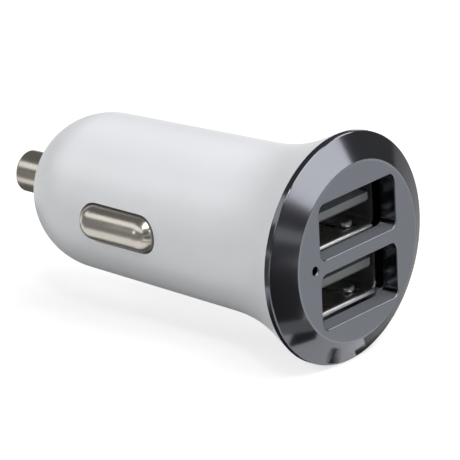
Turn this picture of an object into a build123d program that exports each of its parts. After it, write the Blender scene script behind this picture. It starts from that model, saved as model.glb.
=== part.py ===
# Car charger plug with two sockets in its face.
# The plug's axis is X: the face lies at x = 0 and looks along +X, the tip points along -X, Z is up.
import os
from math import acos, asin, atan, atan2, cos, hypot, pi, sin, sqrt, tan
from build123d import *

os.makedirs("parts", exist_ok=True)

# How far an edge may lie from the place where it is picked
pick_margin = 0.001

# Sockets: standard mouths, one above the other
socket_mouth_width = 12.5
socket_mouth_height = 5.12
socket_sheet = 0.3
socket_corner = 0.4
socket_pitch = 8.2
socket_shift_y = 0.2
socket_shift_z = -0.4
socket_front_gap = 0.3
socket_length = 8.6
socket_leg_width = 1.6
socket_leg_length = 2.0
lip_bend = 0.35
lip_corner_gap = 0.5
finger_width = 2.0
finger_spacing = 6.6
finger_root = 6.2
finger_crest = 1.9
finger_tip = 1.4
finger_depth = 0.7
finger_drop = 0.6
finger_bend = 0.4
finger_slot = 0.25

# Socket tongues, thinner in front
tongue_side_gap = 0.7
tongue_thickness = 1.84
tongue_front_thickness = 1.3
tongue_front_length = 1.6
tongue_rise = 0.05
tongue_setback = 0.4
tongue_bevel = 0.4
tongue_block_length = 2.2
tongue_fit = 0.02

# Contact strips in the sockets
strip_width = 1.0
strip_thickness = 0.3
strip_offsets = (-3.5, -1.0, 1.0, 3.5)
strip_front = 1.6
strip_bow_place = 3.0
strip_bow_end = 5.0
strip_bow = 0.55
strip_tail = 1.0

# Front bezel: port windows in a flat face, a wide bevel and a narrow rim
window_width = 14.0
window_height = 6.8
window_corner = 1.0
window_pitch = 8.6
window_shift_y = 0.25
window_shift_z = -0.15
face_margin = 0.58
face_edge_round = 0.45
rim_radius = 13.95
bevel_depth = 1.8
rim_width = 0.75
plate_thickness = 2.3
opening_edge_round = 0.2
rim_edge_round = 0.2

# Snap skirt that holds the bezel in the barrel
skirt_step = 1.2
skirt_clearance = 0.07
skirt_thickness = 0.7
skirt_end_x = -6.3
snap_x = -5.1
snap_length = 0.8
snap_height = 0.25
groove_clearance = 0.15
slit_width = 1.2
slit_start_x = -3.4

# Barrel: round nose, slight taper, flare up to the bezel
nose_radius = 9.58
nose_centre_x = -38.2
flare_radius = 23.2
mouth_wall = 1.02
barrel_wall = 0.59
nose_wall = 1.5
nose_floor_margin = 0.37
shoulder_ledge = 1.25
socket_clearance = 0.05
skirt_step_x = -6.7
mouth_lead_in = 0.3
nose_hole_round = 0.25

# Centre tip
tip_radius = 2.58
tip_reach = 4.27
tip_end_round = 0.45
tip_running_clearance = 0.07
tip_flange_radius = 3.3
tip_flange_thickness = 1.0
tip_spigot_radius = 1.7
tip_spigot_length = 1.8

# Side earth contacts: domed caps in obround slots
earth_x = -28.8
earth_length = 11.7
earth_width = 4.5
earth_proud = 1.44
earth_dome_round = 2.15
earth_sheet = 0.45
earth_clearance = 0.2
earth_wall = 1.56
earth_flange_margin = 0.8
earth_flange_sheet = 0.4
earth_pocket_clearance = 0.2
earth_pocket_reach = 3.0

# Leaf springs behind the earth contacts
leaf_sheet = 0.25
leaf_width = 1.6
leaf_back_reach = 4.2
leaf_front_reach = 4.4
leaf_crest_offset = 2.5
leaf_gap = 0.32
leaf_fold = 0.55
leaf_heel = 1.2
leaf_nose_drop = 1.4

# Boards
board_thickness = 1.2
port_board_clearance = 0.07
hole_clearance = 0.15
main_board_end_gap = 1.6
main_board_half_width = 5.0
main_board_front_half_width = 6.2
main_board_neck_x = -21.5
tab_width = 2.3
tab_spacing = 6.4
tab_length = 1.6

# Indicator light
led_offset = 1.05
led_hole_radius = 0.5
led_radius = 0.9
led_back_x = -5.2
led_dome_x = -2.4
led_well_x = -1.3
led_well_clearance = 0.15
led_collar_radius = 1.1
led_collar_thickness = 0.4
led_lead_size = 0.4
led_lead_spacing = 1.0
led_lead_tail = 0.7

# Positive terminal and tip spring
terminal_radius = 3.0
terminal_thickness = 0.6
terminal_boss_radius = 1.6
terminal_boss_length = 1.4
terminal_foot_length = 3.2
terminal_foot_width = 3.0
terminal_foot_sheet = 0.4
spring_wire = 0.5
spring_mean_radius = 2.25
spring_turns = 6
spring_end_gap = 0.02

# Parts on the main board
inductor_x = -18.2
inductor_size = 6.6
inductor_height = 4.0
inductor_corner = 1.2
inductor_dimple_radius = 2.2
inductor_dimple_depth = 0.3
chip_x = -26.0
chip_length = 4.9
chip_width = 3.9
chip_height = 1.4
chip_lift = 0.1
chip_leads_a_side = 4
chip_lead_pitch = 1.27
chip_lead_width = 0.42
chip_lead_sheet = 0.2
chip_lead_shoulder = 0.45
chip_span = 6.0
diode_x = -30.8
diode_length = 4.3
diode_width = 2.6
diode_height = 2.1
diode_lead_width = 1.4
diode_lead_reach = 0.35
diode_lead_sheet = 0.25
large_can_x = -18.6
large_can_diameter = 6.3
large_can_height = 5.6
small_can_x = -28.4
small_can_diameter = 5.0
small_can_height = 5.2
can_base_margin = 0.2
can_base_height = 0.8
can_round = 0.4
fuse_x = -34.6
fuse_length = 3.2
fuse_width = 1.6
fuse_height = 0.7
fuse_cap = 0.5
fuse_cap_step = 0.05

# Sockets: their outside, and the bore that clears their corners
shell_width = socket_mouth_width + 2 * socket_sheet
shell_height = socket_mouth_height + 2 * socket_sheet
shell_corner = socket_corner + socket_sheet
socket_side_y = (socket_mouth_width + socket_sheet) / 2
socket_floor_z = -(socket_mouth_height + socket_sheet) / 2
upper_socket_z = socket_shift_z + socket_pitch / 2
lower_socket_z = socket_shift_z - socket_pitch / 2
socket_front_x = -plate_thickness - socket_front_gap
socket_back_x = socket_front_x - socket_length
shoulder_x = socket_back_x - board_thickness
socket_corner_y = abs(socket_shift_y) + shell_width / 2 - shell_corner
socket_corner_z = abs(socket_shift_z) + (socket_pitch + shell_height) / 2 - shell_corner
socket_bore = hypot(socket_corner_y, socket_corner_z) + shell_corner + socket_clearance

# Bezel: its face goes round the windows, and its skirt round the sockets
window_corner_y = abs(window_shift_y) + window_width / 2 - window_corner
window_corner_z = abs(window_shift_z) + (window_pitch + window_height) / 2 - window_corner
face_radius = hypot(window_corner_y, window_corner_z) + window_corner + face_margin
mouth_x = -bevel_depth - rim_width
skirt_bore = socket_bore + skirt_step
skirt_outer = skirt_bore - skirt_clearance
skirt_inner = skirt_outer - skirt_thickness
led_y = window_shift_y - window_width / 2 - led_offset

# Barrel: the taper runs from the nose to the wall round the socket bore,
# and the flare from there to the bezel's rim, with a full wall round the skirt
barrel_radius = socket_bore + barrel_wall
barrel_length = shoulder_x - nose_centre_x
taper = acos(nose_radius / hypot(barrel_length, barrel_radius)) - atan2(barrel_length, barrel_radius)
nose_join = (nose_centre_x - nose_radius * sin(taper), nose_radius * cos(taper))
flare_slope = (rim_radius - skirt_bore - mouth_wall) / (mouth_x - skirt_step_x)
flare_corner_x = (
    (rim_radius - flare_slope * mouth_x - nose_radius / cos(taper) + nose_centre_x * tan(taper))
    / (tan(taper) - flare_slope)
)
flare_corner = (flare_corner_x, rim_radius + flare_slope * (flare_corner_x - mouth_x))
# the flare's round leaves a straight land as long as the rim is wide
flare_length = hypot(mouth_x - flare_corner_x, rim_radius - flare_corner[1])
flare_round = min(flare_radius, (flare_length - rim_width) / tan((atan(flare_slope) - taper) / 2))
tip_bore = tip_radius + tip_running_clearance
nose_hole_x = nose_centre_x - sqrt(nose_radius**2 - tip_bore**2)
nose_mid_angle = (asin(tip_bore / nose_radius) + pi / 2 - taper) / 2
nose_mid = (
    nose_centre_x - nose_radius * cos(nose_mid_angle),
    nose_radius * sin(nose_mid_angle),
)
cavity_front_radius = socket_bore - shoulder_ledge
cavity_nose_radius = nose_radius - nose_wall
nose_floor_radius = tip_flange_radius + nose_floor_margin
nose_floor_x = nose_centre_x - sqrt(cavity_nose_radius**2 - nose_floor_radius**2)
floor_mid_angle = (asin(nose_floor_radius / cavity_nose_radius) + pi / 2) / 2
floor_mid = (
    nose_centre_x - cavity_nose_radius * cos(floor_mid_angle),
    cavity_nose_radius * sin(floor_mid_angle),
)

# Tip, earth contacts and boards
tip_end_x = nose_centre_x - nose_radius - tip_reach
tip_flange_front_x = nose_floor_x + tip_flange_thickness
barrel_at_earth = nose_radius / cos(taper) + (earth_x - nose_centre_x) * tan(taper)
earth_top = barrel_at_earth + earth_proud
earth_seat = barrel_at_earth - earth_wall
earth_flange_length = earth_length + 2 * earth_flange_margin
earth_flange_width = earth_width + 2 * earth_flange_margin
earth_flange_inner = earth_seat - earth_flange_sheet
leaf_back_x = earth_x - leaf_back_reach
leaf_front_x = earth_x + leaf_front_reach
leaf_crest_x = earth_x + leaf_crest_offset
leaf_crest = earth_top - earth_sheet - leaf_gap
board_top = board_thickness / 2
main_board_end_x = nose_centre_x + main_board_end_gap
terminal_back_x = main_board_end_x - terminal_thickness


def edges_at(builder, axis, place):
    """Edges of a part that lie wholly at one place along an axis."""
    return builder.edges().filter_by_position(axis, place - pick_margin, place + pick_margin)


# Barrel housing: one moulded shell turned about the plug's axis
with BuildPart() as barrel_housing:
    with BuildSketch(Plane.XY) as housing_section:
        with BuildLine() as housing_outline:
            FilletPolyline((mouth_x, rim_radius), flare_corner, nose_join, radius=flare_round)
            ThreePointArc(nose_join, nose_mid, (nose_hole_x, tip_bore))
            Line((nose_hole_x, tip_bore), (nose_floor_x, tip_bore))
            Line((nose_floor_x, tip_bore), (nose_floor_x, nose_floor_radius))
            ThreePointArc(
                (nose_floor_x, nose_floor_radius), floor_mid, (nose_centre_x, cavity_nose_radius)
            )
            Polyline(
                (nose_centre_x, cavity_nose_radius),
                (shoulder_x, cavity_front_radius),
                (shoulder_x, socket_bore),
                (skirt_step_x, socket_bore),
                (skirt_step_x, skirt_bore),
                (mouth_x - mouth_lead_in, skirt_bore),
                (mouth_x, skirt_bore + mouth_lead_in),
                (mouth_x, rim_radius),
            )
        make_face()
    revolve(axis=Axis.X)
    # groove that the bezel's snap ridges spring into
    with BuildSketch(Plane.XY) as groove_section:
        with Locations((snap_x, skirt_bore)):
            Rectangle(
                snap_length + 2 * groove_clearance,
                2 * (snap_height + groove_clearance - skirt_clearance),
            )
    revolve(axis=Axis.X, mode=Mode.SUBTRACT)
    # obround slots for the earth contacts, with a flat seat inside for their flanges
    with BuildSketch(Plane.XZ) as slot_section:
        with Locations((earth_x, 0)):
            SlotOverall(earth_length + 2 * earth_clearance, earth_width + 2 * earth_clearance)
    extrude(amount=rim_radius, both=True, mode=Mode.SUBTRACT)
    with BuildSketch(Plane.XZ.offset(earth_seat - earth_pocket_reach)) as left_pocket:
        with Locations((earth_x, 0)):
            SlotOverall(
                earth_flange_length + 2 * earth_pocket_clearance,
                earth_flange_width + 2 * earth_pocket_clearance,
            )
    extrude(amount=earth_pocket_reach, mode=Mode.SUBTRACT)
    with BuildSketch(Plane.XZ.offset(-earth_seat)) as right_pocket:
        with Locations((earth_x, 0)):
            SlotOverall(
                earth_flange_length + 2 * earth_pocket_clearance,
                earth_flange_width + 2 * earth_pocket_clearance,
            )
    extrude(amount=earth_pocket_reach, mode=Mode.SUBTRACT)
    fillet(edges_at(barrel_housing, Axis.X, nose_hole_x), nose_hole_round)
barrel_housing.part.label = "barrel_housing"
export_step(barrel_housing.part, "parts/barrel_housing.step")

# Front bezel: plate, bevel and slit snap skirt in one moulding
with BuildPart() as front_bezel:
    with BuildSketch(Plane.XY) as bezel_section:
        with BuildLine() as bezel_outline:
            Polyline(
                (0, 0),
                (0, face_radius),
                (-bevel_depth, rim_radius),
                (mouth_x, rim_radius),
                (mouth_x, skirt_outer),
                (skirt_end_x, skirt_outer),
                (skirt_end_x, skirt_inner),
                (-plate_thickness, skirt_inner),
                (-plate_thickness, 0),
                close=True,
            )
        make_face()
    revolve(axis=Axis.X)
    # snap ridge, a low trapezium all round the skirt
    with BuildSketch(Plane.XY) as ridge_section:
        with BuildLine() as ridge_outline:
            Polyline(
                (snap_x + snap_length / 2, skirt_outer - snap_height),
                (snap_x + snap_length / 2, skirt_outer),
                (snap_x + snap_length / 4, skirt_outer + snap_height),
                (snap_x - snap_length / 4, skirt_outer + snap_height),
                (snap_x - snap_length / 2, skirt_outer),
                (snap_x - snap_length / 2, skirt_outer - snap_height),
                close=True,
            )
        make_face()
    revolve(axis=Axis.X)
    # slits that part the skirt into four springing tongues
    with BuildSketch(Plane.YZ.offset(slit_start_x)) as slit_section:
        Rectangle(slit_width, 2 * rim_radius, rotation=45)
        Rectangle(slit_width, 2 * rim_radius, rotation=-45)
    extrude(amount=skirt_end_x - slit_start_x, mode=Mode.SUBTRACT)
    # port windows
    with BuildSketch(Plane.YZ) as window_section:
        with Locations((window_shift_y, window_shift_z)):
            with GridLocations(0, window_pitch, 1, 2):
                RectangleRounded(window_width, window_height, window_corner)
    extrude(amount=-plate_thickness, mode=Mode.SUBTRACT)
    # pinhole for the light, with a well behind it for the lens
    with BuildSketch(Plane.YZ) as pinhole_section:
        with Locations((led_y, 0)):
            Circle(led_hole_radius)
    extrude(amount=-plate_thickness, mode=Mode.SUBTRACT)
    with BuildSketch(Plane.YZ.offset(-plate_thickness)) as well_section:
        with Locations((led_y, 0)):
            Circle(led_radius + led_well_clearance)
    extrude(amount=plate_thickness + led_well_x, mode=Mode.SUBTRACT)
    # rounds on the rim, around the openings and, last, on the face's own edge, which is the longest
    fillet(edges_at(front_bezel, Axis.X, -bevel_depth).filter_by(GeomType.CIRCLE), rim_edge_round)
    fillet(edges_at(front_bezel, Axis.X, 0).sort_by(SortBy.LENGTH)[:-1], opening_edge_round)
    fillet(edges_at(front_bezel, Axis.X, 0).sort_by(SortBy.LENGTH)[-1], face_edge_round)
front_bezel.part.label = "front_bezel"
export_step(front_bezel.part, "parts/front_bezel.step")

# Tip contact: turned pin with a flange that stops it in the nose
with BuildPart() as tip_contact:
    with BuildSketch(Plane.XY) as tip_section:
        with BuildLine() as tip_outline:
            Polyline(
                (tip_end_x, 0),
                (tip_end_x, tip_radius),
                (nose_floor_x, tip_radius),
                (nose_floor_x, tip_flange_radius),
                (tip_flange_front_x, tip_flange_radius),
                (tip_flange_front_x, tip_spigot_radius),
                (tip_flange_front_x + tip_spigot_length, tip_spigot_radius),
                (tip_flange_front_x + tip_spigot_length, 0),
                close=True,
            )
        make_face()
    revolve(axis=Axis.X)
    fillet(edges_at(tip_contact, Axis.X, tip_end_x), tip_end_round)
tip_contact.part.label = "tip_contact"
export_step(tip_contact.part, "parts/tip_contact.step")

# Tip spring: wound wire between the tip's flange and the terminal
spring_start_x = tip_flange_front_x + spring_wire / 2 + spring_end_gap
spring_run = terminal_back_x - spring_wire / 2 - spring_end_gap - spring_start_x
with BuildPart() as tip_spring:
    with BuildLine() as spring_path:
        coil = Helix(
            pitch=spring_run / spring_turns,
            height=spring_run,
            radius=spring_mean_radius,
            center=(spring_start_x, 0, 0),
            direction=(1, 0, 0),
        )
    with BuildSketch(Plane(origin=coil @ 0, z_dir=coil % 0)) as spring_section:
        Circle(spring_wire / 2)
    sweep(path=spring_path.wires()[0])
tip_spring.part.label = "tip_spring"
export_step(tip_spring.part, "parts/tip_spring.step")

# Positive terminal: brass seat for the spring with a foot on the main board
with BuildPart() as positive_terminal:
    with BuildSketch(Plane.YZ.offset(main_board_end_x)) as terminal_disc:
        Circle(terminal_radius)
    extrude(amount=-terminal_thickness)
    with BuildSketch(Plane.YZ.offset(terminal_back_x)) as terminal_boss:
        Circle(terminal_boss_radius)
    extrude(amount=-terminal_boss_length)
    with BuildSketch(Plane.XY.offset(board_top)) as terminal_foot:
        with Locations((main_board_end_x + (terminal_foot_length - terminal_thickness) / 2, 0)):
            Rectangle(terminal_foot_length + terminal_thickness, terminal_foot_width)
    extrude(amount=terminal_foot_sheet)
positive_terminal.part.label = "positive_terminal"
export_step(positive_terminal.part, "parts/positive_terminal.step")

# Earth contacts: drawn caps with a flange that stops them in the slot
with BuildPart() as earth_contact_left:
    with BuildSketch(Plane.XZ.offset(earth_flange_inner)) as cap_section:
        with Locations((earth_x, 0)):
            SlotOverall(earth_length, earth_width)
    extrude(amount=earth_top - earth_flange_inner)
    fillet(edges_at(earth_contact_left, Axis.Y, -earth_top), earth_dome_round)
    with BuildSketch(Plane.XZ.offset(earth_flange_inner)) as flange_section:
        with Locations((earth_x, 0)):
            SlotOverall(earth_flange_length, earth_flange_width)
    extrude(amount=earth_flange_sheet)
    with BuildSketch(Plane.XZ.offset(earth_flange_inner)) as hollow_section:
        with Locations((earth_x, 0)):
            SlotOverall(earth_length - 2 * earth_sheet, earth_width - 2 * earth_sheet)
    hollow = extrude(amount=earth_top - earth_sheet - earth_flange_inner, mode=Mode.PRIVATE)
    hollow_edges = hollow.faces().sort_by(Axis.Y)[0].edges()
    add(hollow.fillet(earth_dome_round - earth_sheet, hollow_edges), mode=Mode.SUBTRACT)
earth_contact_left.part.label = "earth_contact_left"
export_step(earth_contact_left.part, "parts/earth_contact_left.step")

with BuildPart() as earth_contact_right:
    mirror(earth_contact_left.part, about=Plane.XZ)
earth_contact_right.part.label = "earth_contact_right"
export_step(earth_contact_right.part, "parts/earth_contact_right.step")

# Earth springs: folded leaves between the main board's edges and the caps
leaf_base_y = main_board_half_width + leaf_sheet / 2
with BuildPart() as earth_spring_left:
    with BuildSketch(Plane.XY.offset(-leaf_width / 2)) as leaf_section:
        with BuildLine() as leaf_path:
            FilletPolyline(
                (leaf_front_x, -leaf_base_y),
                (leaf_back_x, -leaf_base_y),
                (leaf_back_x, -leaf_base_y - leaf_heel),
                (leaf_crest_x, -leaf_crest),
                (leaf_front_x, -leaf_crest + leaf_nose_drop),
                radius=leaf_fold,
            )
        trace(line_width=leaf_sheet)
    extrude(amount=leaf_width)
earth_spring_left.part.label = "earth_spring_left"
export_step(earth_spring_left.part, "parts/earth_spring_left.step")

with BuildPart() as earth_spring_right:
    mirror(earth_spring_left.part, about=Plane.XZ)
earth_spring_right.part.label = "earth_spring_right"
export_step(earth_spring_right.part, "parts/earth_spring_right.step")

# Sockets: the pieces of one are made about its own middle and then set in both places
upper_place = Location((0, socket_shift_y, upper_socket_z))
lower_place = Location((0, socket_shift_y, lower_socket_z))

# sprung fingers in the floor and roof, with round ends that dip again
finger_root_x = socket_front_x - finger_root
finger_crest_x = socket_front_x - finger_crest
finger_tip_x = socket_front_x - finger_tip
with BuildPart() as finger:
    with BuildSketch(Plane.XZ) as finger_section:
        with BuildLine() as finger_path:
            FilletPolyline(
                (finger_root_x - socket_sheet, socket_floor_z),
                (finger_root_x, socket_floor_z),
                (finger_crest_x, socket_floor_z + finger_depth),
                (finger_tip_x, socket_floor_z + finger_depth - finger_drop),
                radius=finger_bend,
            )
        trace(line_width=socket_sheet)
    extrude(amount=finger_width / 2, both=True)
    with BuildSketch(Plane.XY.offset(socket_floor_z)) as finger_plan:
        with Locations((finger_tip_x - finger_root, 0)):
            SlotOverall(2 * finger_root, finger_width)
    extrude(amount=socket_mouth_height / 2, both=True, mode=Mode.INTERSECT)

# lip that folds outwards along the floor of the mouth, and along its roof
shell_front_x = socket_front_x - lip_bend - socket_sheet / 2
with BuildPart() as floor_lip:
    with BuildSketch(Plane.XZ) as floor_lip_section:
        with BuildLine() as floor_lip_path:
            CenterArc((shell_front_x, socket_floor_z - lip_bend), lip_bend, 0, 90)
        trace(line_width=socket_sheet)
    extrude(amount=socket_mouth_width / 2 - lip_corner_gap, both=True)

# folded shell with legs to the board
with BuildPart() as socket_shell:
    with BuildSketch(Plane.YZ.offset(shell_front_x)) as shell_section:
        RectangleRounded(shell_width, shell_height, shell_corner)
        RectangleRounded(socket_mouth_width, socket_mouth_height, socket_corner, mode=Mode.SUBTRACT)
    extrude(amount=socket_back_x - shell_front_x)
    with BuildSketch(Plane.XY) as finger_windows:
        with Locations(((finger_root_x + finger_tip_x + finger_slot) / 2, 0)):
            with GridLocations(0, finger_spacing, 1, 2):
                Rectangle(finger_tip_x + finger_slot - finger_root_x, finger_width + 2 * finger_slot)
    extrude(amount=shell_height, both=True, mode=Mode.SUBTRACT)
    for side in (-1, 1):
        side_finger = finger.part.moved(Location((0, side * finger_spacing / 2, 0)))
        add(side_finger)
        mirror(side_finger, about=Plane.XY)
    add(floor_lip.part)
    mirror(floor_lip.part, about=Plane.XY)
    with BuildSketch(Plane.YZ.offset(socket_back_x)) as leg_section:
        with GridLocations(2 * socket_side_y, 0, 2, 1):
            Rectangle(socket_sheet, socket_leg_width)
    extrude(amount=-socket_leg_length)

with BuildPart() as upper_usb_shell:
    add(socket_shell.part.moved(upper_place))
upper_usb_shell.part.label = "upper_usb_shell"
export_step(upper_usb_shell.part, "parts/upper_usb_shell.step")

with BuildPart() as lower_usb_shell:
    add(socket_shell.part.moved(lower_place))
lower_usb_shell.part.label = "lower_usb_shell"
export_step(lower_usb_shell.part, "parts/lower_usb_shell.step")

# moulded block that closes the shell's back, with the tongue in front
tongue_front_x = socket_front_x - tongue_setback
strip_front_x = socket_front_x - strip_front
with BuildPart() as socket_tongue:
    with BuildSketch(Plane.YZ.offset(socket_back_x)) as block_section:
        RectangleRounded(
            socket_mouth_width - 2 * tongue_fit,
            socket_mouth_height - 2 * tongue_fit,
            socket_corner,
        )
    extrude(amount=tongue_block_length)
    with BuildSketch(Plane.XZ) as tongue_section:
        with BuildLine() as tongue_outline:
            Polyline(
                (socket_back_x, tongue_rise),
                (tongue_front_x - tongue_bevel, tongue_rise),
                (tongue_front_x, tongue_rise + tongue_bevel),
                (tongue_front_x, tongue_rise + tongue_front_thickness),
                (tongue_front_x - tongue_front_length, tongue_rise + tongue_front_thickness),
                (tongue_front_x - tongue_front_length, tongue_rise + tongue_thickness),
                (socket_back_x, tongue_rise + tongue_thickness),
                close=True,
            )
        make_face()
    extrude(amount=socket_mouth_width / 2 - tongue_side_gap, both=True)
    with BuildSketch(Plane.YZ.offset(strip_front_x)) as strip_grooves:
        with Locations(*[(y, strip_thickness / 2) for y in strip_offsets]):
            Rectangle(strip_width, strip_thickness)
    extrude(amount=socket_back_x - strip_front_x, mode=Mode.SUBTRACT)

with BuildPart() as upper_usb_tongue:
    add(socket_tongue.part.moved(upper_place))
upper_usb_tongue.part.label = "upper_usb_tongue"
export_step(upper_usb_tongue.part, "parts/upper_usb_tongue.step")

with BuildPart() as lower_usb_tongue:
    add(socket_tongue.part.moved(lower_place))
lower_usb_tongue.part.label = "lower_usb_tongue"
export_step(lower_usb_tongue.part, "parts/lower_usb_tongue.step")

# four bowed contact strips whose tails go through the port board
strip_bow_x = socket_front_x - strip_bow_place
strip_bow_end_x = socket_front_x - strip_bow_end
strip_end_x = shoulder_x - strip_tail
with BuildPart() as socket_contacts:
    with BuildSketch(Plane.XZ) as strip_section:
        with BuildLine() as strip_outline:
            Polyline(
                (strip_end_x, strip_thickness),
                (strip_bow_end_x, strip_thickness),
                (strip_bow_x, strip_thickness - strip_bow),
                (strip_front_x, strip_thickness),
                (strip_front_x, 0),
                (strip_bow_x, -strip_bow),
                (strip_bow_end_x, 0),
                (strip_end_x, 0),
                close=True,
            )
        make_face()
    strip = extrude(amount=strip_width / 2, both=True, mode=Mode.PRIVATE)
    with Locations(*[(0, y, 0) for y in strip_offsets]):
        add(strip)

with BuildPart() as upper_usb_contacts:
    add(socket_contacts.part.moved(upper_place))
upper_usb_contacts.part.label = "upper_usb_contacts"
export_step(upper_usb_contacts.part, "parts/upper_usb_contacts.step")

with BuildPart() as lower_usb_contacts:
    add(socket_contacts.part.moved(lower_place))
lower_usb_contacts.part.label = "lower_usb_contacts"
export_step(lower_usb_contacts.part, "parts/lower_usb_contacts.step")

# Port board: round board on the barrel's shoulder
with BuildPart() as port_board:
    with BuildSketch(Plane.YZ.offset(shoulder_x)) as port_board_section:
        Circle(socket_bore - port_board_clearance)
        with Locations((socket_shift_y, upper_socket_z), (socket_shift_y, lower_socket_z)):
            with Locations(*[(y, strip_thickness / 2) for y in strip_offsets]):
                Rectangle(
                    strip_width + 2 * hole_clearance,
                    strip_thickness + 2 * hole_clearance,
                    mode=Mode.SUBTRACT,
                )
            with GridLocations(2 * socket_side_y, 0, 2, 1):
                Rectangle(
                    socket_sheet + 2 * hole_clearance,
                    socket_leg_width + 2 * hole_clearance,
                    mode=Mode.SUBTRACT,
                )
        with Locations((led_y, 0)):
            with GridLocations(0, led_lead_spacing, 1, 2):
                Circle(led_lead_size / 2 + hole_clearance, mode=Mode.SUBTRACT)
        with GridLocations(tab_spacing, 0, 2, 1):
            Rectangle(tab_width, board_thickness, mode=Mode.SUBTRACT)
    extrude(amount=board_thickness)
port_board.part.label = "port_board"
export_step(port_board.part, "parts/port_board.step")

# Main board: lies along the axis, its two tabs plug into the port board
with BuildPart() as main_board:
    with BuildSketch(Plane.XY.offset(-board_top)) as main_board_section:
        with BuildLine() as main_board_outline:
            Polyline(
                (shoulder_x, main_board_front_half_width),
                (main_board_neck_x, main_board_front_half_width),
                (main_board_neck_x, main_board_half_width),
                (main_board_end_x, main_board_half_width),
                (main_board_end_x, -main_board_half_width),
                (main_board_neck_x, -main_board_half_width),
                (main_board_neck_x, -main_board_front_half_width),
                (shoulder_x, -main_board_front_half_width),
                close=True,
            )
        make_face()
        with Locations((shoulder_x + tab_length / 2, 0)):
            with GridLocations(0, tab_spacing, 1, 2):
                Rectangle(tab_length, tab_width)
    extrude(amount=board_thickness)
main_board.part.label = "main_board"
export_step(main_board.part, "parts/main_board.step")

# Indicator light: round lens with a collar and two leads
with BuildPart() as indicator_led:
    with BuildSketch(Plane.YZ.offset(led_back_x)) as lens_section:
        with Locations((led_y, 0)):
            Circle(led_radius)
    extrude(amount=led_dome_x - led_back_x)
    with Locations((led_dome_x, led_y, 0)):
        Sphere(led_radius)
    with BuildSketch(Plane.YZ.offset(led_back_x)) as collar_section:
        with Locations((led_y, 0)):
            Circle(led_collar_radius)
    extrude(amount=led_collar_thickness)
    with BuildSketch(Plane.YZ.offset(led_back_x)) as lead_section:
        with Locations((led_y, 0)):
            with GridLocations(0, led_lead_spacing, 1, 2):
                Circle(led_lead_size / 2)
    extrude(amount=shoulder_x - led_lead_tail - led_back_x)
indicator_led.part.label = "indicator_led"
export_step(indicator_led.part, "parts/indicator_led.step")

# Power inductor: moulded block with a round dimple
with BuildPart() as power_inductor:
    with BuildSketch(Plane.XY.offset(board_top)) as inductor_section:
        with Locations((inductor_x, 0)):
            RectangleRounded(inductor_size, inductor_size, inductor_corner)
    extrude(amount=inductor_height)
    with BuildSketch(Plane.XY.offset(board_top + inductor_height)) as dimple_section:
        with Locations((inductor_x, 0)):
            Circle(inductor_dimple_radius)
    extrude(amount=-inductor_dimple_depth, mode=Mode.SUBTRACT)
power_inductor.part.label = "power_inductor"
export_step(power_inductor.part, "parts/power_inductor.step")

# Converter chip: moulded body with eight bent leads
chip_floor = board_top + chip_lift
chip_lead_z = chip_floor + chip_height / 2
with BuildPart() as converter_chip:
    with BuildSketch(Plane.XY.offset(chip_floor)) as chip_section:
        with Locations((chip_x, 0)):
            Rectangle(chip_length, chip_width)
    extrude(amount=chip_height)
    with BuildSketch(Plane.YZ.offset(chip_x)) as chip_lead_section:
        with BuildLine() as chip_lead_path:
            FilletPolyline(
                (chip_width / 2 - chip_lead_sheet, chip_lead_z),
                (chip_width / 2 + chip_lead_shoulder, chip_lead_z),
                (chip_width / 2 + chip_lead_shoulder, board_top + chip_lead_sheet / 2),
                (chip_span / 2, board_top + chip_lead_sheet / 2),
                radius=chip_lead_sheet,
            )
        trace(line_width=chip_lead_sheet)
        mirror(about=Plane.YZ)
    chip_leads = extrude(amount=chip_lead_width / 2, both=True, mode=Mode.PRIVATE)
    with GridLocations(chip_lead_pitch, 0, chip_leads_a_side, 1):
        add(chip_leads)
converter_chip.part.label = "converter_chip"
export_step(converter_chip.part, "parts/converter_chip.step")

# Rectifier diode: moulded body with two flat leads
with BuildPart() as rectifier_diode:
    with BuildSketch(Plane.XY.offset(board_top)) as diode_section:
        with Locations((diode_x, 0)):
            Rectangle(diode_width, diode_length)
    extrude(amount=diode_height)
    with BuildSketch(Plane.XY.offset(board_top)) as diode_lead_section:
        with Locations((diode_x, 0)):
            Rectangle(diode_lead_width, diode_length + 2 * diode_lead_reach)
    extrude(amount=diode_lead_sheet)
rectifier_diode.part.label = "rectifier_diode"
export_step(rectifier_diode.part, "parts/rectifier_diode.step")

# Smoothing capacitors: round cans on square bases, below the board
with BuildPart() as output_capacitor:
    with BuildSketch(Plane.XY.offset(-board_top)) as large_base_section:
        with Locations((large_can_x, 0)):
            Rectangle(large_can_diameter + 2 * can_base_margin, large_can_diameter + 2 * can_base_margin)
    extrude(amount=-can_base_height)
    with BuildSketch(Plane.XY.offset(-board_top)) as large_can_section:
        with Locations((large_can_x, 0)):
            Circle(large_can_diameter / 2)
    extrude(amount=-large_can_height)
    fillet(edges_at(output_capacitor, Axis.Z, -board_top - large_can_height), can_round)
output_capacitor.part.label = "output_capacitor"
export_step(output_capacitor.part, "parts/output_capacitor.step")

with BuildPart() as input_capacitor:
    with BuildSketch(Plane.XY.offset(-board_top)) as small_base_section:
        with Locations((small_can_x, 0)):
            Rectangle(small_can_diameter + 2 * can_base_margin, small_can_diameter + 2 * can_base_margin)
    extrude(amount=-can_base_height)
    with BuildSketch(Plane.XY.offset(-board_top)) as small_can_section:
        with Locations((small_can_x, 0)):
            Circle(small_can_diameter / 2)
    extrude(amount=-small_can_height)
    fillet(edges_at(input_capacitor, Axis.Z, -board_top - small_can_height), can_round)
input_capacitor.part.label = "input_capacitor"
export_step(input_capacitor.part, "parts/input_capacitor.step")

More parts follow.
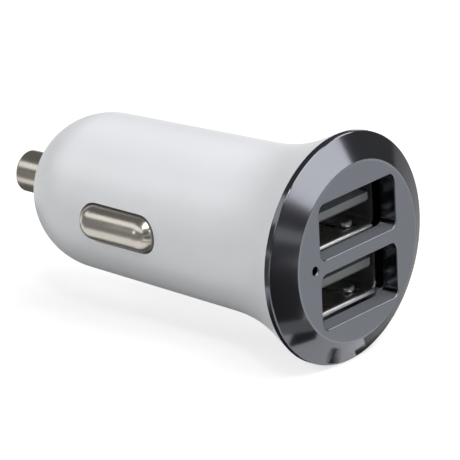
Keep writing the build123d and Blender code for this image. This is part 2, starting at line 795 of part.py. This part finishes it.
# Board fuse: small chip with thicker end caps, below the board
with BuildPart() as board_fuse:
    with BuildSketch(Plane.XY.offset(-board_top)) as fuse_section:
        with Locations((fuse_x, 0)):
            Rectangle(fuse_width, fuse_length - 2 * fuse_cap)
    extrude(amount=-fuse_height)
    with BuildSketch(Plane.XY.offset(-board_top)) as fuse_cap_section:
        with Locations((fuse_x, 0)):
            with GridLocations(0, fuse_length - fuse_cap, 1, 2):
                Rectangle(fuse_width + 2 * fuse_cap_step, fuse_cap)
    extrude(amount=-fuse_height - fuse_cap_step)
board_fuse.part.label = "board_fuse"
export_step(board_fuse.part, "parts/board_fuse.step")
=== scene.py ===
"""Looks of a car charger plug: finishes of its CAD pieces, a pale floor, soft studio light and the camera."""
import math

import bpy
from mathutils import Matrix, Vector


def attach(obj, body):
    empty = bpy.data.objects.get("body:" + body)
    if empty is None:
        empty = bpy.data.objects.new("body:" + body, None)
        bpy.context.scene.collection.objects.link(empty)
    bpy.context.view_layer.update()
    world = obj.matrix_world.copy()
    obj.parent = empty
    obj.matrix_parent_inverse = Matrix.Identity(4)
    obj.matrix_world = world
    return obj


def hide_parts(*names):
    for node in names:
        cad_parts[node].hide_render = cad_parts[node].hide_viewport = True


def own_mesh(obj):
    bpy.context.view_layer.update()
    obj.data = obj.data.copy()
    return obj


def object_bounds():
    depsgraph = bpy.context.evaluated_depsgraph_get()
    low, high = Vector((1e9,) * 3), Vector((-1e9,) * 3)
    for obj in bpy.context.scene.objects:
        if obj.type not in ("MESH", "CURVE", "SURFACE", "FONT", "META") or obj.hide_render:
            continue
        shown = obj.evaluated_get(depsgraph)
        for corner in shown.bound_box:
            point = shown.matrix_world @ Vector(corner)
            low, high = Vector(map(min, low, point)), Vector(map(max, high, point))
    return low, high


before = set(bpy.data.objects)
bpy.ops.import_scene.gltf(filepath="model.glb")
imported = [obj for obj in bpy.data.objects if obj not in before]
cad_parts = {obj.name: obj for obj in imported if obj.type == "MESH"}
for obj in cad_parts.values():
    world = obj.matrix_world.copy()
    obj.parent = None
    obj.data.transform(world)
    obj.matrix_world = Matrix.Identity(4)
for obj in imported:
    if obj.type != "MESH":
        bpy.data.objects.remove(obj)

CAD_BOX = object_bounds()
MM = 0.001

# Camera: a long lens that looks down at the face from its left; lens and sensor in millimetres
CAMERA_AZIMUTH = math.radians(41.226)
CAMERA_ELEVATION = math.radians(20.154)
CAMERA_ROLL = math.radians(-2.828)
CAMERA_DISTANCE = 522.4 * MM
CAMERA_ASIDE = 14.88 * MM
CAMERA_ABOVE = -2.48 * MM
SENSOR_WIDTH = 36.0
LENS = 352.2

# Radii on the bezel: the satin face ends, a bright cut edge runs round it, the polished bevel begins
FACE_RADIUS = 10.72 * MM
BEVEL_RADIUS = 10.96 * MM
ZONE_SEAM = 0.03 * MM
# Where the bright edges come between the bevel, which is 0, and the face, which is 1
EDGE_ZONE = 0.5
# Middle and half of the depth over which the edges of the windows are rounded
WINDOW_EDGE_X = -0.105 * MM
WINDOW_EDGE_HALF = 0.095 * MM
# The windows lie within this far of the middle, the pinhole beyond it
WINDOWS_HALF = 7.0 * MM
# How far a sill has to face up for lacquer to begin to settle and to lie full, and the metal that shows then
LACQUER_BEGINS = 0.3
LACQUER_FULL = 0.9
LACQUERED_METAL = 0.1

# Values of the board's pattern between which bare laminate turns into copper
LAMINATE_ENDS = 0.47
COPPER_BEGINS = 0.53

# Springs by CAD node: the piece that shows it, the joint that presses it, and its end that stays, in metres
SPRINGS = {
    "tip_spring": ("tip_coil", "tip_plunge", (-0.0372, 0, 0)),
    "earth_spring_left": ("left_leaf", "earth_left_press", (0, -0.005, 0)),
    "earth_spring_right": ("right_leaf", "earth_right_press", (0, 0.005, 0)),
}

# Floor and backdrop, in metres, and how far their paper glows where it is seen
GROUND = CAD_BOX[0][2]
FLOOR_SIZE = 4.0
BACKDROP_TOP = 0.2
FLOOR_GLOW = 0.66

# Softboxes: place, the point they are turned to, width and height, all in metres, and power in watts
WORLD_STRENGTH = 0.17
PLUG_MIDDLE = (-0.02, 0, 0)
FACE_MIDDLE = (0, 0, 0)
SOFTBOXES = {
    "overhead": ((0.40, 0.05, 0.80), PLUG_MIDDLE, 0.7, 0.5, 4.4),
    "front": ((0.507, 0.176, 0.250), FACE_MIDDLE, 0.60, 0.15, 0.87),
    "side": ((-0.21, -0.435, 0.372), PLUG_MIDDLE, 1.4, 0.25, 1.38),
    "back": ((0.115, 0.43, 0.40), FACE_MIDDLE, 0.35, 0.20, 0.88),
    "cap_end": ((-0.233, -0.457, 0.088), PLUG_MIDDLE, 0.11, 0.11, 0.12),
    "key": ((0.23, -0.28, 0.48), FACE_MIDDLE, 0.085, 0.085, 0.68),
}

# Cards, with their places on the floor in millimetres
CARD_PAINTS = {
    "white": ("#DCDCDC", "#E4E4E4"),
    "pale": ("#A8A8A8", "#B0B0B0"),
    "mid": ("#989898", "#A0A0A0"),
    "grey": ("#6C6C6C", "#747474"),
    "dark": ("#464647", "#505051"),
}
CARD_LIFT = 0.1 * MM
RIM_SHADOW_LIFT = 2 * CARD_LIFT
SIDE_CARD_TOP = 10 * MM
LOW_CARD_TOP = 3 * MM
# Cards that lie on the floor: paint and corners
LYING_CARDS = {
    # The grey card under the barrel is painted shadow: it stands in for the shade under the barrel, seen only
    # in reflections
    "barrel_shadow_card": ("grey", [(-80, -12), (-14, -12), (-14, 20), (-80, 20)]),
    "left_card": ("dark", [(8.2, -60), (1900, -1900), (1900, -200), (83, -26), (8.2, -9.5)]),
    "left_gap": ("pale", [(4.6, -16), (8.2, -16), (8.2, -6), (4.6, -6)]),
    "left_strip": ("dark", [(1.8, -10), (4.6, -10), (4.6, -6), (2.8, -6)]),
    "right_card": ("mid", [(-600, 1900), (-60, 3.5), (-0.3, 3.5), (400, 1900)]),
    "edge_card": ("dark", [(-20, -36), (-13, -36), (-2.5, -9), (-2.5, -3.5), (-6, -3.5), (-9, -12)]),
}
# Painted contact shadow under the rim: grey cards just above the others, with their corners, where each fades
# in, and where it is full
RIM_SHADOW_CARDS = {
    "rim_shadow_left_near": (
        [(0.25, -1.85), (0.62, -3.03), (-1.15, -4.95), (-1.45, -3.8)],
        (-0.27, -3.99), (-0.6, -2.83),
    ),
    "rim_shadow_left_far": (
        [(0.25, -1.85), (-1.45, -3.8), (-1.7, -2.2), (-0.25, -0.35)],
        (-0.95, -1.25), (-0.6, -2.83),
    ),
    "rim_shadow_right": (
        [(-1.1, 1), (-1.05, 3.5), (-1.4, 5.7), (-1.9, 8), (-2.5, 10.4), (-4, 10.4), (-4, 1)],
        (-1.1, 3.94), (-1.64, 3.82),
    ),
}
# Cards that stand on the floor: paint, the two ends, and the height of the upper edge in metres
STANDING_CARDS = {
    "side_card": ("pale", [(-42, -34.6), (-98, -27)], SIDE_CARD_TOP),
    "side_low_card": ("pale", [(-2, -40), (-42, -34.6)], LOW_CARD_TOP),
    "far_card": ("white", [(-300, 1950), (900, 1950)], BACKDROP_TOP),
}


def linear(hex_colour):
    """An sRGB hex colour as linear red, green, blue and alpha."""
    channels = [int(hex_colour[i:i + 2], 16) / 255 for i in (1, 3, 5)]
    curve = [c / 12.92 if c <= 0.04045 else ((c + 0.055) / 1.055) ** 2.4 for c in channels]
    return (*curve, 1.0)


def add_node(owner, kind, inputs=None, **settings):
    """Adds a shader node; an input takes a value or the output socket it is linked to."""
    tree = owner.node_tree
    node = tree.nodes.new(kind)
    for name, value in settings.items():
        setattr(node, name, value)
    for socket, value in (inputs or {}).items():
        if isinstance(value, bpy.types.NodeSocket):
            tree.links.new(value, node.inputs[socket])
        else:
            node.inputs[socket].default_value = value
    return node


def new_material(name, **inputs):
    """A material whose shader has these plain values."""
    material = bpy.data.materials.new(name)
    material.use_nodes = True
    shader = material.node_tree.nodes["Principled BSDF"]
    for socket, value in inputs.items():
        shader.inputs[socket.replace("_", " ")].default_value = value
    return material


def link_shader(material, socket, output):
    """Lets a socket of the material's shader follow an output."""
    shader = material.node_tree.nodes["Principled BSDF"]
    material.node_tree.links.new(output, shader.inputs[socket])


def grain(material, size_mm, stretch=(1, 1, 1), detail=2.0):
    """Noise whose grains are about size_mm across, longer along an axis whose stretch is above 1."""
    place = add_node(material, "ShaderNodeTexCoord")
    scaled = add_node(material, "ShaderNodeMapping", {
        "Vector": place.outputs["Object"],
        "Scale": tuple(1 / (size_mm * MM * s) for s in stretch),
    })
    noise = add_node(material, "ShaderNodeTexNoise", {
        "Vector": scaled.outputs["Vector"], "Scale": 1.0, "Detail": detail,
    })
    return noise.outputs["Fac"]


def lay_surface(material, tone, colours, gloss, roughness, relief=None, depth_mm=0.0):
    """Base colour, roughness and relief that follow patterns with values from 0 to 1."""
    ramp = add_node(material, "ShaderNodeValToRGB", {"Fac": tone})
    stops = ramp.color_ramp.elements
    for i in range(1, len(colours) - 1):
        stops.new(i / (len(colours) - 1))
    for stop, colour in zip(stops, colours):
        stop.color = linear(colour)
    link_shader(material, "Base Color", ramp.outputs["Color"])
    polish = add_node(material, "ShaderNodeMapRange", {
        "Value": gloss, "To Min": roughness[0], "To Max": roughness[1],
    })
    link_shader(material, "Roughness", polish.outputs["Result"])
    if relief:
        bump = add_node(material, "ShaderNodeBump", {"Height": relief, "Distance": depth_mm * MM})
        link_shader(material, "Normal", bump.outputs["Normal"])


def moulded_white_abs():
    # Moulded ABS from a lightly polished tool: an even white with a soft, slightly uneven gloss
    material = new_material("moulded_white_abs", IOR=1.53)
    lay_surface(
        material, grain(material, size_mm=6.0), ("#E4E6E9", "#E9EBEE"),
        gloss=grain(material, size_mm=1.2), roughness=(0.30, 0.40),
        relief=grain(material, size_mm=0.35), depth_mm=0.004,
    )
    return material


def dark_chrome_plating():
    # Dark chrome on moulded plastic: a mirror-dark bevel and rim, a satin face, bright edges round it and
    # the windows, polished side walls in the windows and sills that are dulled by settled lacquer
    material = new_material("dark_chrome_plating")
    place = add_node(material, "ShaderNodeTexCoord")
    flat = add_node(material, "ShaderNodeMapping", {"Vector": place.outputs["Object"], "Scale": (0, 1, 1)})
    radius = add_node(material, "ShaderNodeVectorMath", {0: flat.outputs["Vector"]}, operation="LENGTH")
    spot = add_node(material, "ShaderNodeSeparateXYZ", {"Vector": place.outputs["Object"]})
    facing = add_node(material, "ShaderNodeSeparateXYZ", {"Vector": place.outputs["Normal"]})
    on_face = add_node(material, "ShaderNodeMapRange", {
        "Value": radius.outputs["Value"], "From Min": FACE_RADIUS, "From Max": FACE_RADIUS - ZONE_SEAM,
    })
    inside_bevel = add_node(material, "ShaderNodeMapRange", {
        "Value": radius.outputs["Value"], "From Min": BEVEL_RADIUS, "From Max": BEVEL_RADIUS - ZONE_SEAM,
        "To Max": EDGE_ZONE,
    })
    window_edge = add_node(material, "ShaderNodeMath", {
        0: spot.outputs["X"], 1: WINDOW_EDGE_X, 2: WINDOW_EDGE_HALF,
    }, operation="COMPARE")
    satin = add_node(material, "ShaderNodeMath", {
        0: on_face.outputs["Result"], 1: window_edge.outputs["Value"],
    }, operation="SUBTRACT", use_clamp=True).outputs["Value"]
    # 0 on the bevel, EDGE_ZONE on the bright edges, 1 on the face and the walls of the windows
    zone = add_node(material, "ShaderNodeMath", {
        0: satin, 1: 1 - EDGE_ZONE, 2: inside_bevel.outputs["Result"],
    }, operation="MULTIPLY_ADD").outputs["Value"]
    at_windows = add_node(material, "ShaderNodeMath", {
        0: spot.outputs["Y"], 1: 0.0, 2: WINDOWS_HALF,
    }, operation="COMPARE")
    in_window = add_node(material, "ShaderNodeMath", {
        0: at_windows.outputs["Value"], 1: satin,
    }, operation="MULTIPLY")
    sill = add_node(material, "ShaderNodeMath", {
        0: facing.outputs["Z"], 1: in_window.outputs["Value"],
    }, operation="MULTIPLY")
    metal = add_node(material, "ShaderNodeMapRange", {
        "Value": sill.outputs["Value"], "From Min": LACQUER_BEGINS, "From Max": LACQUER_FULL,
        "To Min": 1.0, "To Max": LACQUERED_METAL,
    })
    link_shader(material, "Metallic", metal.outputs["Result"])
    aside = add_node(material, "ShaderNodeMath", {0: facing.outputs["Y"]}, operation="ABSOLUTE")
    side_wall = add_node(material, "ShaderNodeMath", {
        0: aside.outputs["Value"], 1: satin,
    }, operation="MULTIPLY")
    dulled = add_node(material, "ShaderNodeMath", {
        0: zone, 1: side_wall.outputs["Value"],
    }, operation="SUBTRACT", use_clamp=True).outputs["Value"]
    pits = add_node(material, "ShaderNodeMath", {
        0: grain(material, size_mm=0.14, detail=1.0), 1: satin,
    }, operation="MULTIPLY")
    lay_surface(
        material, zone, ("#68696F", "#75797F", "#6C6F75"), gloss=dulled, roughness=(0.14, 0.42),
        relief=pits.outputs["Value"], depth_mm=0.006,
    )
    return material


def nickel_plated_cap():
    # Drawn brass cap with bright nickel: faint polishing lines along the barrel break up the reflections,
    # coarser than real ones, so that they show
    material = new_material("nickel_plated_cap", Metallic=1.0)
    lines = grain(material, size_mm=0.20, stretch=(30, 1, 1))
    lay_surface(
        material, lines, ("#B9B3A9", "#C9C4BC"), gloss=grain(material, size_mm=2.5), roughness=(0.22, 0.30),
        relief=lines, depth_mm=0.001,
    )
    return material


def nickel_plated_turning():
    # Turned brass pin with bright nickel: tool rings run round it, coarser than real ones, so that they show
    material = new_material("nickel_plated_turning", Metallic=1.0)
    rings = grain(material, size_mm=0.30, stretch=(1, 60, 60))
    lay_surface(
        material, rings, ("#B5AFA5", "#C8C3BA"), gloss=grain(material, size_mm=3.0), roughness=(0.22, 0.30),
        relief=rings, depth_mm=0.0015,
    )
    return material


def folded_socket_steel():
    # Folded nickel-plated sheet: rolled along the socket, with a soft metal shine
    material = new_material("folded_socket_steel", Metallic=1.0)
    lines = grain(material, size_mm=0.12, stretch=(12, 1, 1))
    lay_surface(
        material, lines, ("#B5B5B6", "#C7C7C8"), gloss=lines, roughness=(0.24, 0.36),
        relief=lines, depth_mm=0.002,
    )
    return material


def drawn_spring_wire():
    # Drawn spring wire and strip: a darker steel with a faint mottle from the die
    material = new_material("drawn_spring_wire", Metallic=1.0)
    mottle = grain(material, size_mm=0.15)
    lay_surface(material, mottle, ("#8B8A88", "#A3A2A0"), gloss=mottle, roughness=(0.25, 0.4))
    return material


def stamped_brass():
    # Stamped brass strip: warm yellow, dulled a little by handling
    material = new_material("stamped_brass", Metallic=1.0)
    stain = grain(material, size_mm=1.5)
    lay_surface(material, stain, ("#B08A45", "#D2AE62"), gloss=stain, roughness=(0.25, 0.4))
    return material


def moulded_socket_plastic():
    # Glass-filled polyester tongue: matt grey with fibres just under its skin
    material = new_material("moulded_socket_plastic", IOR=1.57)
    fibres = grain(material, size_mm=0.2, stretch=(5, 1, 1))
    lay_surface(
        material, fibres, ("#686D6E", "#757A7B"), gloss=fibres, roughness=(0.4, 0.55),
        relief=fibres, depth_mm=0.003,
    )
    return material


def masked_circuit_board():
    # Glass-epoxy laminate under green solder mask: copper areas show through as lighter patches
    material = new_material("masked_circuit_board", IOR=1.5)
    copper = add_node(material, "ShaderNodeMapRange", {
        "Value": grain(material, size_mm=2.5, detail=0.0),
        "From Min": LAMINATE_ENDS, "From Max": COPPER_BEGINS,
    }).outputs["Result"]
    lay_surface(
        material, copper, ("#0E3B22", "#1D5C36"), gloss=copper, roughness=(0.45, 0.3),
        relief=copper, depth_mm=0.03,
    )
    return material


def cast_clear_resin():
    # Cast epoxy lens: clear and glossy, dim while the light is off
    material = new_material("cast_clear_resin", IOR=1.53, Transmission_Weight=0.6)
    haze = grain(material, size_mm=0.6)
    lay_surface(material, haze, ("#6F767A", "#858C90"), gloss=haze, roughness=(0.08, 0.16))
    return material


def pressed_iron_powder():
    # Pressed and varnished iron powder: dark grey with fine grains
    material = new_material("pressed_iron_powder", IOR=1.5, Metallic=0.3)
    powder = grain(material, size_mm=0.25)
    lay_surface(
        material, powder, ("#2B2B2D", "#47474A"), gloss=powder, roughness=(0.5, 0.7),
        relief=powder, depth_mm=0.01,
    )
    return material


def moulded_black_resin():
    # Moulded epoxy of chips and diodes: matt black with a fine spark-eroded grain
    material = new_material("moulded_black_resin", IOR=1.55)
    spark = grain(material, size_mm=0.08)
    lay_surface(
        material, spark, ("#141415", "#1F1F20"), gloss=spark, roughness=(0.5, 0.65),
        relief=spark, depth_mm=0.006,
    )
    return material


def drawn_aluminium_can():
    # Drawn aluminium can: bright, with draw lines along its height
    material = new_material("drawn_aluminium_can", Metallic=1.0)
    lines = grain(material, size_mm=0.12, stretch=(1, 1, 30))
    lay_surface(material, lines, ("#BFC0C1", "#D3D4D5"), gloss=lines, roughness=(0.22, 0.34))
    return material


def fired_ceramic():
    # Fired ceramic chip: off-white and slightly chalky
    material = new_material("fired_ceramic", IOR=1.6)
    chalk = grain(material, size_mm=0.2)
    lay_surface(material, chalk, ("#D2CDBF", "#E1DCCF"), gloss=chalk, roughness=(0.5, 0.65))
    return material


def matt_floor_paper():
    # White studio paper: matt, and bright wherever it is looked at straight, through glass or in a reflection
    material = new_material("matt_floor_paper", Specular_IOR_Level=0.0, Emission_Color=linear("#FFFFFF"))
    fibres = grain(material, size_mm=30.0)
    lay_surface(material, fibres, ("#BCBCBC", "#C0C0C0"), gloss=fibres, roughness=(0.95, 1.0))
    ray = add_node(material, "ShaderNodeLightPath")
    straight = add_node(material, "ShaderNodeMath", {
        0: ray.outputs["Is Camera Ray"], 1: ray.outputs["Is Glossy Ray"],
    }, operation="MAXIMUM")
    seen = add_node(material, "ShaderNodeMath", {
        0: straight.outputs["Value"], 1: ray.outputs["Is Transmission Ray"],
    }, operation="MAXIMUM")
    glow = add_node(material, "ShaderNodeMapRange", {"Value": seen.outputs["Value"], "To Max": FLOOR_GLOW})
    link_shader(material, "Emission Strength", glow.outputs["Result"])
    return material


def painted_card(name, colours):
    # Matt painted card: dull and even, so that bright metal near it shows a streak of its grey
    material = new_material(name, Specular_IOR_Level=0.0)
    paint = grain(material, size_mm=2.0)
    lay_surface(material, paint, colours, gloss=paint, roughness=(0.95, 1.0))
    return material


def faded_shadow_card(name, colours, start, full):
    # Painted shadow: a grey card that fades in between two places on it, so that bright metal near it shows a
    # soft-edged streak of painted shade
    material = painted_card(name, colours)
    start, full = start.to_3d(), full.to_3d()
    across = full - start
    place = add_node(material, "ShaderNodeTexCoord")
    reach = add_node(material, "ShaderNodeVectorMath", {
        0: place.outputs["Object"], 1: across,
    }, operation="DOT_PRODUCT")
    cover = add_node(material, "ShaderNodeMapRange", {
        "Value": reach.outputs["Value"], "From Min": across.dot(start), "From Max": across.dot(full),
    })
    link_shader(material, "Alpha", cover.outputs["Result"])
    return material


FINISHES = {
    moulded_white_abs: ["barrel_housing"],
    dark_chrome_plating: ["front_bezel"],
    nickel_plated_cap: ["earth_contact_left", "earth_contact_right"],
    nickel_plated_turning: ["tip_contact"],
    folded_socket_steel: ["upper_usb_shell", "lower_usb_shell"],
    drawn_spring_wire: ["tip_spring", "earth_spring_left", "earth_spring_right"],
    stamped_brass: ["positive_terminal", "upper_usb_contacts", "lower_usb_contacts"],
    moulded_socket_plastic: ["upper_usb_tongue", "lower_usb_tongue"],
    masked_circuit_board: ["port_board", "main_board"],
    cast_clear_resin: ["indicator_led"],
    pressed_iron_powder: ["power_inductor"],
    moulded_black_resin: ["converter_chip", "rectifier_diode"],
    drawn_aluminium_can: ["output_capacitor", "input_capacitor"],
    fired_ceramic: ["board_fuse"],
}


def dress_nodes():
    """Gives every CAD node its finish."""
    for finish, names in FINISHES.items():
        material = finish()
        for name in names:
            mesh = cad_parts[name].data
            mesh.materials.clear()
            mesh.materials.append(material)


def set_springs():
    """Springs shown by copies of their CAD nodes' meshes, hung on the plug's body in place of the nodes."""
    for node, (name, joint, fixed_end) in SPRINGS.items():
        spring = bpy.data.objects.new(name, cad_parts[node].data.copy())
        bpy.context.scene.collection.objects.link(spring)
        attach(spring, "plug_body")
        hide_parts(node)
        # Each spring lies beyond its fixed end, as seen from the middle of the face
        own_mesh(spring)


def add_sheet(name, corners, material):
    """A flat sheet of the studio, which is no part of the plug."""
    mesh = bpy.data.meshes.new(name)
    mesh.from_pydata(corners, [], [range(len(corners))])
    mesh.materials.append(material)
    sheet = bpy.data.objects.new(name, mesh)
    bpy.context.scene.collection.objects.link(sheet)
    return sheet


def lay_floor():
    """A wide pale floor just under the bezel's rim, with a low backdrop of the same paper round it."""
    half = FLOOR_SIZE / 2
    paper = matt_floor_paper()
    corners = [(-half, -half), (half, -half), (half, half), (-half, half)]
    add_sheet("floor", [(x, y, GROUND) for x, y in corners], paper)
    for i, end in enumerate(corners):
        start = corners[i - 1]
        add_sheet(f"backdrop_{i}", [
            (*start, GROUND), (*end, GROUND), (*end, BACKDROP_TOP), (*start, BACKDROP_TOP),
        ], paper)


def over_floor(corners, lift):
    """Places on the floor in millimetres as points in metres that lie this far above it."""
    return [(x * MM, y * MM, GROUND + lift) for x, y in corners]


def set_cards():
    """Cards around the plug that only its bright surfaces show, as streaks; the grey cards under the barrel
    and by the rim are painted shadow.
    """
    paints = {name: painted_card(name + "_painted_card", colours) for name, colours in CARD_PAINTS.items()}
    cards = []
    for name, (paint, corners) in LYING_CARDS.items():
        cards.append(add_sheet(name, over_floor(corners, CARD_LIFT), paints[paint]))
    # The grey cards by the rim are painted contact shadow, faded at their soft edge
    for name, (corners, start, full) in RIM_SHADOW_CARDS.items():
        paint = faded_shadow_card(name + "_paint", CARD_PAINTS["grey"], Vector(start) * MM, Vector(full) * MM)
        cards.append(add_sheet(name, over_floor(corners, RIM_SHADOW_LIFT), paint))
    for name, (paint, ends, top) in STANDING_CARDS.items():
        near, far = over_floor(ends, 0)
        cards.append(add_sheet(name, [near, far, (*far[:2], top), (*near[:2], top)], paints[paint]))
    for card in cards:
        card.visible_camera = False
        card.visible_diffuse = False
        card.visible_shadow = False


def add_softbox(name, place, target, width, height, power):
    """A soft rectangular lamp at a place, turned to a target."""
    lamp = bpy.data.lights.new(name, "AREA")
    lamp.shape = "RECTANGLE"
    lamp.size = width
    lamp.size_y = height
    lamp.energy = power
    box = bpy.data.objects.new(name, lamp)
    bpy.context.scene.collection.objects.link(box)
    box.location = place
    box.rotation_euler = (Vector(target) - Vector(place)).to_track_quat("-Z", "Y").to_euler()
    box.visible_camera = False


def light_studio():
    """A faint white surround and the softboxes."""
    world = bpy.data.worlds.new("studio")
    bpy.context.scene.world = world
    world.use_nodes = True
    background = world.node_tree.nodes["Background"]
    background.inputs["Color"].default_value = linear("#FFFFFF")
    background.inputs["Strength"].default_value = WORLD_STRENGTH
    for name, values in SOFTBOXES.items():
        add_softbox(name, *values)


def place_camera():
    """The camera, looking at the plug from its azimuth and elevation, with a slight roll."""
    azimuth, elevation, roll = CAMERA_AZIMUTH, CAMERA_ELEVATION, CAMERA_ROLL
    back = Vector((
        math.sin(azimuth) * math.cos(elevation),
        -math.cos(azimuth) * math.cos(elevation),
        math.sin(elevation),
    ))
    level_right = Vector((math.cos(azimuth), math.sin(azimuth), 0))
    level_up = back.cross(level_right)
    right = math.cos(roll) * level_right + math.sin(roll) * level_up
    up = back.cross(right)
    lens = bpy.data.cameras.new("camera")
    lens.lens = LENS
    lens.sensor_width = SENSOR_WIDTH
    camera = bpy.data.objects.new("camera", lens)
    bpy.context.scene.collection.objects.link(camera)
    place = back * CAMERA_DISTANCE - right * CAMERA_ASIDE - up * CAMERA_ABOVE
    camera.matrix_world = Matrix((
        (right.x, up.x, back.x, place.x),
        (right.y, up.y, back.y, place.y),
        (right.z, up.z, back.z, place.z),
        (0, 0, 0, 1),
    ))
    bpy.context.scene.camera = camera


dress_nodes()
set_springs()
lay_floor()
set_cards()
light_studio()
place_camera()
bpy.context.scene.view_settings.view_transform = "Standard"
